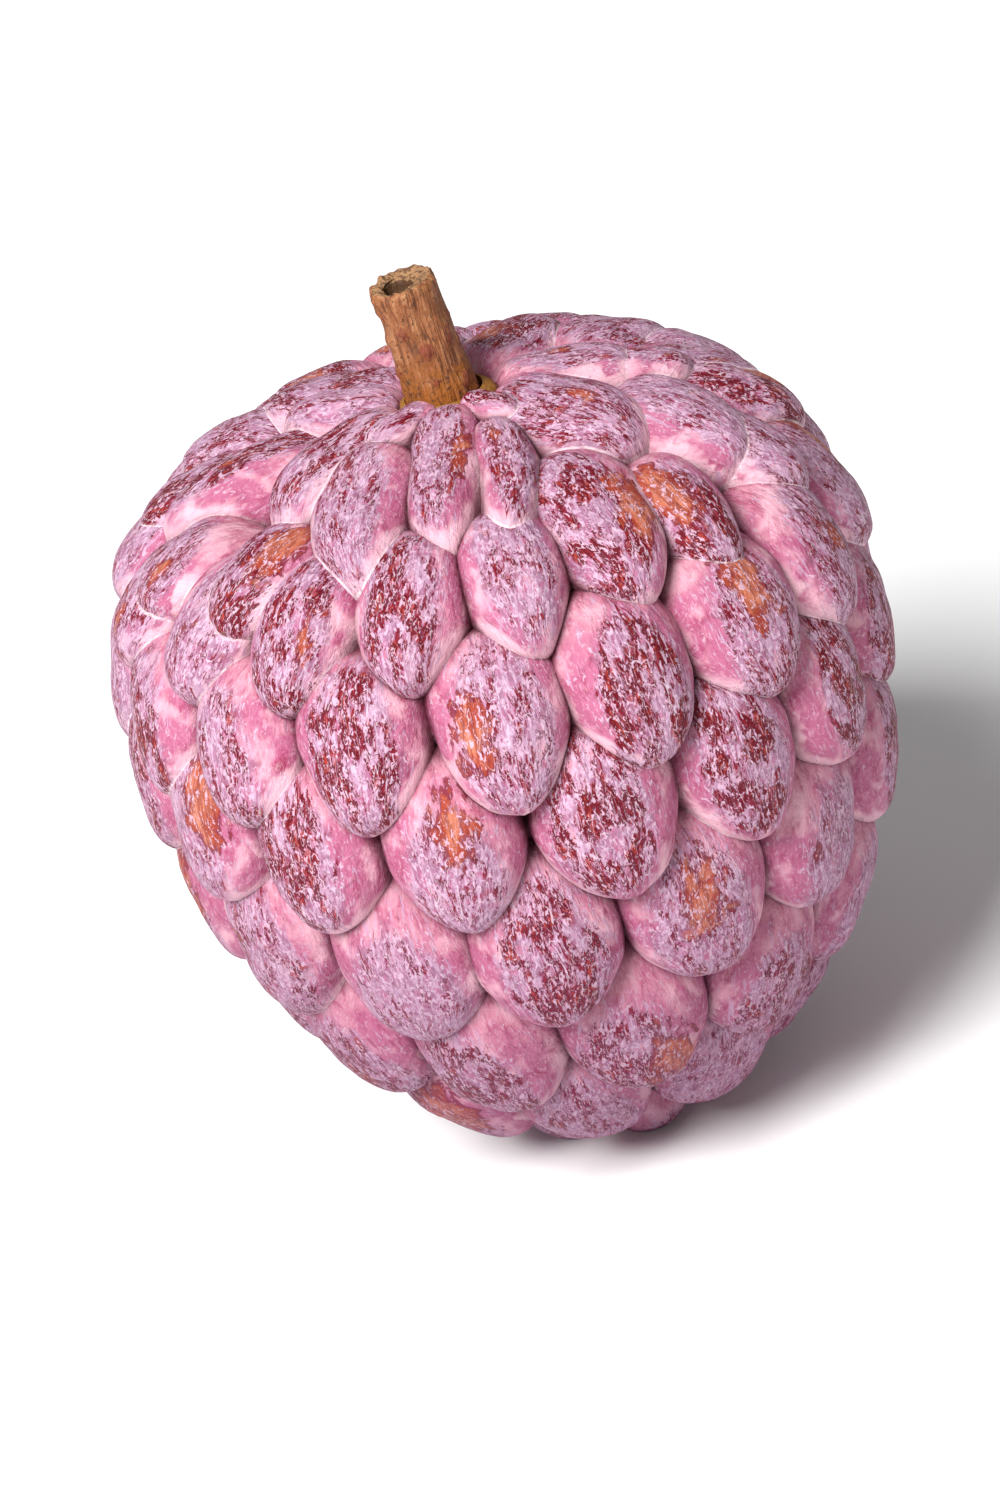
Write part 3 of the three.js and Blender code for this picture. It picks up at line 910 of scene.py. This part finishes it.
# Low relief of the skin: clouds with their weights, and its height in millimetres.
SKIN_RELIEF = (("soft", 3.0), ("chips", 1.0), ("ragged", 2.0))
SKIN_RELIEF_HEIGHT = 0.13


def custard_apple_skin():
    """Live fruit skin, grown: a pink rind under a lavender wax bloom, rubbed on the crests.

    The bloom gives the matt, frosted lilac; where it is rubbed off, the crimson and
    orange rind below shows, in islands and short dashes. Painted shade darkens closed
    creases and the lower end, and a painted highlight runs along the lips of lower edges.
    """
    material, tree = new_material("custard_apple_skin_waxy_bloom")
    grain = add(tree, "Attribute", attribute_name="carpel_grain", out="Vector")
    marks = add(tree, "Attribute", attribute_name="carpel_marks", out="Vector")
    place = add(tree, "Attribute", attribute_name="carpel_place", out="Vector")
    worn, patch, from_tip = (add(tree, "SeparateXYZ", (marks,), out=axis) for axis in range(3))
    down, crease, wear = (add(tree, "SeparateXYZ", (place,), out=axis) for axis in range(3))
    height = add(tree, "SeparateXYZ", (add(tree, "TexCoord", out="Object"),), out=2)
    clouds = make_clouds(tree, grain, SKIN_CLOUDS)

    low = add(tree, "MapRange", (down, *LOWER_HALF))
    edge = add(tree, "MapRange", (crease, *NEAR_EDGE))
    crest = add(tree, "MapRange", (worn, *CREST))
    drift = add(tree, "MapRange", (clouds["drift"], *WEAR_DRIFT))
    rubbed = add(tree, "Math", (drift, wear), operation="MULTIPLY")
    skin = lay_coats(tree, SKIN_BASE, SKIN_COATS, clouds, {
        "all": 0.0,
        "worn": crest,
        "wear": add(tree, "Math", (crest, rubbed), operation="MULTIPLY"),
        "patch": patch,
        "upper": add(tree, "MapRange", (down, *UPPER_HALF)),
        "tip": add(tree, "MapRange", (from_tip, *NEAR_TIP)),
        "rim": add(tree, "Math", (low, edge), operation="MULTIPLY"),
    })

    # Thin strands of wax, where a cloud passes its middle value.
    strand = add(tree, "Math", (clouds["veins"], STRAND_MIDDLE, STRAND_WIDTH), operation="COMPARE")
    over_crest = add(tree, "MapRange", (worn, *STRANDS))
    strand = add(tree, "Math", (strand, over_crest), operation="MULTIPLY")
    # A painted highlight along the lip of each lower edge, broken up by a cloud.
    lip_highlight = add(tree, "MapRange", (crease, *LIP_HIGHLIGHT))
    lip_highlight = add(tree, "Math", (lip_highlight, low), operation="MULTIPLY")
    whole = add(tree, "MapRange", (clouds["streaks"], *LIP_HIGHLIGHT_WHOLE))
    lip_highlight = add(tree, "Math", (lip_highlight, whole), operation="MULTIPLY")
    # How much of the sky each place sees: painted shade darkens closed creases by it.
    open_sky = add(
        tree, "AmbientOcclusion", {"Distance": CREASE_REACH * MM}, out="AO",
        samples=CREASE_SAMPLES, only_local=True,
    )
    off_carpels = add(tree, "Math", (wear, OFF_CARPELS), operation="LESS_THAN")
    by_stalk = add(tree, "Math", (height, BUTTON_FROM * MM), operation="GREATER_THAN")
    # Over the coats: strands of wax, a painted highlight, painted shade and the cork.
    for mask, colour in (
        (strand, "#DCC4D4"),  # strands of wax
        (lip_highlight, "#F8E0E6"),  # painted highlight along the lip of a lower edge
        (add(tree, "MapRange", (open_sky, *CREASE_PAINTED_SHADE)), "#541024"),  # painted shade in closed creases
        (add(tree, "MapRange", (height, *LOWER_PAINTED_SHADE)), "#5E2C50"),  # painted shade, darker towards the lower end
        (add(tree, "Math", (off_carpels, by_stalk), operation="MULTIPLY"), "#94652C"),  # cork
    ):
        sockets = {"Factor": mask, MIX_UNDER: skin, MIX_OVER: linear(colour)}
        skin = add(tree, "Mix", sockets, out=MIX_RESULT, data_type="RGBA")

    shader = add(tree, "BsdfPrincipled", {
        "Base Color": skin, "Roughness": 0.6, "Specular IOR Level": 0.15,
        "Normal": low_relief(tree, clouds, SKIN_RELIEF, SKIN_RELIEF_HEIGHT),
    })
    add(tree, "OutputMaterial", {"Surface": shader})
    return material


# Clouds in the stalk, with their lengths along it, and its coats, as for the skin.
STALK_CLOUDS = {
    "fibres": (0.45, 6.0, 3.0, 0.6, 0.3),
    "lumps": (1.5, 1.8, 4.0, 0.6, 0.4),
    "crumbs": (0.45, 0.6, 3.0, 0.6, 0.2),
}
STALK_BASE = "#985E38"
STALK_COATS = (
    # Bark: pale and dark fibres, with reddish lumps and pale crumbs.
    ("#B4825A", 0.75, "fibres", "all", 0.0, 0.50, 0.68),
    ("#4E2A16", 0.75, "fibres", "all", 0.0, 0.50, 0.36),
    ("#743C22", 0.70, "lumps", "all", 0.0, 0.48, 0.64),
    ("#C89C74", 0.50, "crumbs", "all", 0.0, 0.60, 0.70),
    # The foot: ochre cork with dark crumbs.
    ("#96560E", 0.85, "lumps", "foot", 0.40, 0.50, 0.80),
    ("#4E2A0C", 0.75, "crumbs", "foot", 0.10, 0.58, 0.68),
    # Warts, the paler cut rim with dark crumbs, and the hollow, darkened as painted shade.
    ("#7A3020", 0.70, "crumbs", "wart", 0.50, 0.60, 0.90),
    ("#A8805A", 0.85, "lumps", "rim", 0.50, 0.56, 0.90),
    ("#50301C", 0.80, "crumbs", "rim", 0.10, 0.58, 0.70),
    ("#4E3018", 0.90, "lumps", "hollow", 0.90, 0.60, 1.00),
)

# The heights where the foot's colours end and are full, and the low relief as for the skin.
STALK_FOOT = (STEM_SEAT + 12.0, STEM_SEAT + 5.0)
STALK_RELIEF = (("lumps", 1.0), ("fibres", 1.3))
STALK_RELIEF_HEIGHT = 0.3


def dry_stalk():
    """Dried woody stalk, cut and weathered.

    Matt brown fibres run up it, with reddish warts, an ochre cork foot and a paler,
    crumbly cut end round a hollow that is painted dark as shade.
    """
    material, tree = new_material("dry_woody_stalk")
    where = add(tree, "TexCoord", out="Object")
    in_mm = add(tree, "VectorMath", (where, (1 / MM,) * 3), operation="MULTIPLY")
    x, y, height = (add(tree, "SeparateXYZ", (in_mm,), out=axis) for axis in range(3))
    zone = add(tree, "Attribute", attribute_name="stem_zone", out="Fac")
    clouds = make_clouds(tree, add(tree, "CombineXYZ", (x, height, y)), STALK_CLOUDS)
    bark = lay_coats(tree, STALK_BASE, STALK_COATS, clouds, {
        "all": 0.0,
        "foot": add(tree, "MapRange", (height, *STALK_FOOT)),
        "wart": add(tree, "Attribute", attribute_name="stem_wart", out="Fac"),
        "rim": add(tree, "MapRange", (zone, BARK, RIM)),
        "hollow": add(tree, "MapRange", (zone, RIM, HOLLOW)),
    })
    shader = add(tree, "BsdfPrincipled", {
        "Base Color": bark, "Roughness": 0.7, "IOR": 1.45,
        "Normal": low_relief(tree, clouds, STALK_RELIEF, STALK_RELIEF_HEIGHT),
    })
    add(tree, "OutputMaterial", {"Surface": shader})
    return material


def studio_card():
    """Painted white card, matt, which gives a soft, pale ground."""
    material, tree = new_material("matt_white_painted_card")
    add(tree, "OutputMaterial", {"Surface": add(tree, "BsdfDiffuse", (linear("#FAFAFA"),))})
    return material


# The frame that the camera fills: its height in pixels, how many of them a millimetre of the
# fruit takes, and how far right of its middle and above it the fruit sits, in millimetres.
FRAME_HEIGHT = 1500
FRAME_PIXELS_PER_MM = 9.4
VIEW_SHIFT_ACROSS = 28.8 / FRAME_PIXELS_PER_MM
VIEW_SHIFT_UP = 7.5 / FRAME_PIXELS_PER_MM

# The camera: how far it looks down, its roll, its distance, the height of the place on the
# fruit's axis that it is aimed at, its sensor's width, all in millimetres, and where its
# view starts, in metres.
CAMERA_RISE = math.radians(28)
CAMERA_ROLL = math.radians(16)
CAMERA_AWAY = 500.0
VIEW_HEIGHT = 44.5
SENSOR = 36.0
CLIP_START = 0.01

# Floor, light panel and sky, in metres and watts.
FLOOR_SIZE = 6.0
PANEL_AT = (-0.74, -1.10, 1.52)
PANEL_SIZE = 0.8
PANEL_POWER = 64.0
SKY_COLOUR = "#FFFFFF"
SKY_STRENGTH = 0.28


def place_camera():
    """Looks down on the fruit from the front, rolled so that the fruit leans left."""
    across = Vector((1, 0, 0))
    up = Vector((0, math.sin(CAMERA_RISE), math.cos(CAMERA_RISE)))
    ahead = Vector((0, math.cos(CAMERA_RISE), -math.sin(CAMERA_RISE)))
    right = across * math.cos(CAMERA_ROLL) - up * math.sin(CAMERA_ROLL)
    top = across * math.sin(CAMERA_ROLL) + up * math.cos(CAMERA_ROLL)
    eye = Vector((0, 0, VIEW_HEIGHT)) - ahead * CAMERA_AWAY
    eye = (eye - right * VIEW_SHIFT_ACROSS - top * VIEW_SHIFT_UP) * MM
    lens = bpy.data.cameras.new("camera")
    lens.sensor_width = SENSOR
    lens.lens = SENSOR * CAMERA_AWAY / (FRAME_HEIGHT / FRAME_PIXELS_PER_MM)
    lens.clip_start = CLIP_START
    camera = bpy.data.objects.new("camera", lens)
    turned = Matrix((right, top, -ahead)).transposed().to_4x4()
    camera.matrix_world = Matrix.Translation(eye) @ turned
    bpy.context.scene.collection.objects.link(camera)
    bpy.context.scene.camera = camera


def make_studio():
    """A white floor, one soft square panel that faces the fruit, and a white sky."""
    half = FLOOR_SIZE / 2
    corners = np.array([(-half, -half, 0), (half, -half, 0), (half, half, 0), (-half, half, 0)])
    floor = add_object("floor", corners, [(0, 1, 2, 3)])
    floor.data.materials.append(studio_card())
    panel = bpy.data.lights.new("key", "AREA")
    panel.shape = "SQUARE"
    panel.size = PANEL_SIZE
    panel.energy = PANEL_POWER
    lamp = bpy.data.objects.new("key", panel)
    lamp.location = PANEL_AT
    to_fruit = Vector((0, 0, VIEW_HEIGHT * MM)) - Vector(PANEL_AT)
    lamp.rotation_euler = to_fruit.to_track_quat("-Z", "Y").to_euler()
    bpy.context.scene.collection.objects.link(lamp)
    sky = bpy.data.worlds.new("studio")
    sky.use_nodes = True
    background = sky.node_tree.nodes["Background"]
    background.inputs["Color"].default_value = linear(SKY_COLOUR)
    background.inputs["Strength"].default_value = SKY_STRENGTH
    bpy.context.scene.world = sky
    bpy.context.scene.view_settings.view_transform = "Standard"


place_camera()
make_studio()
make_fruit().data.materials.append(custard_apple_skin())
make_stem().data.materials.append(dry_stalk())
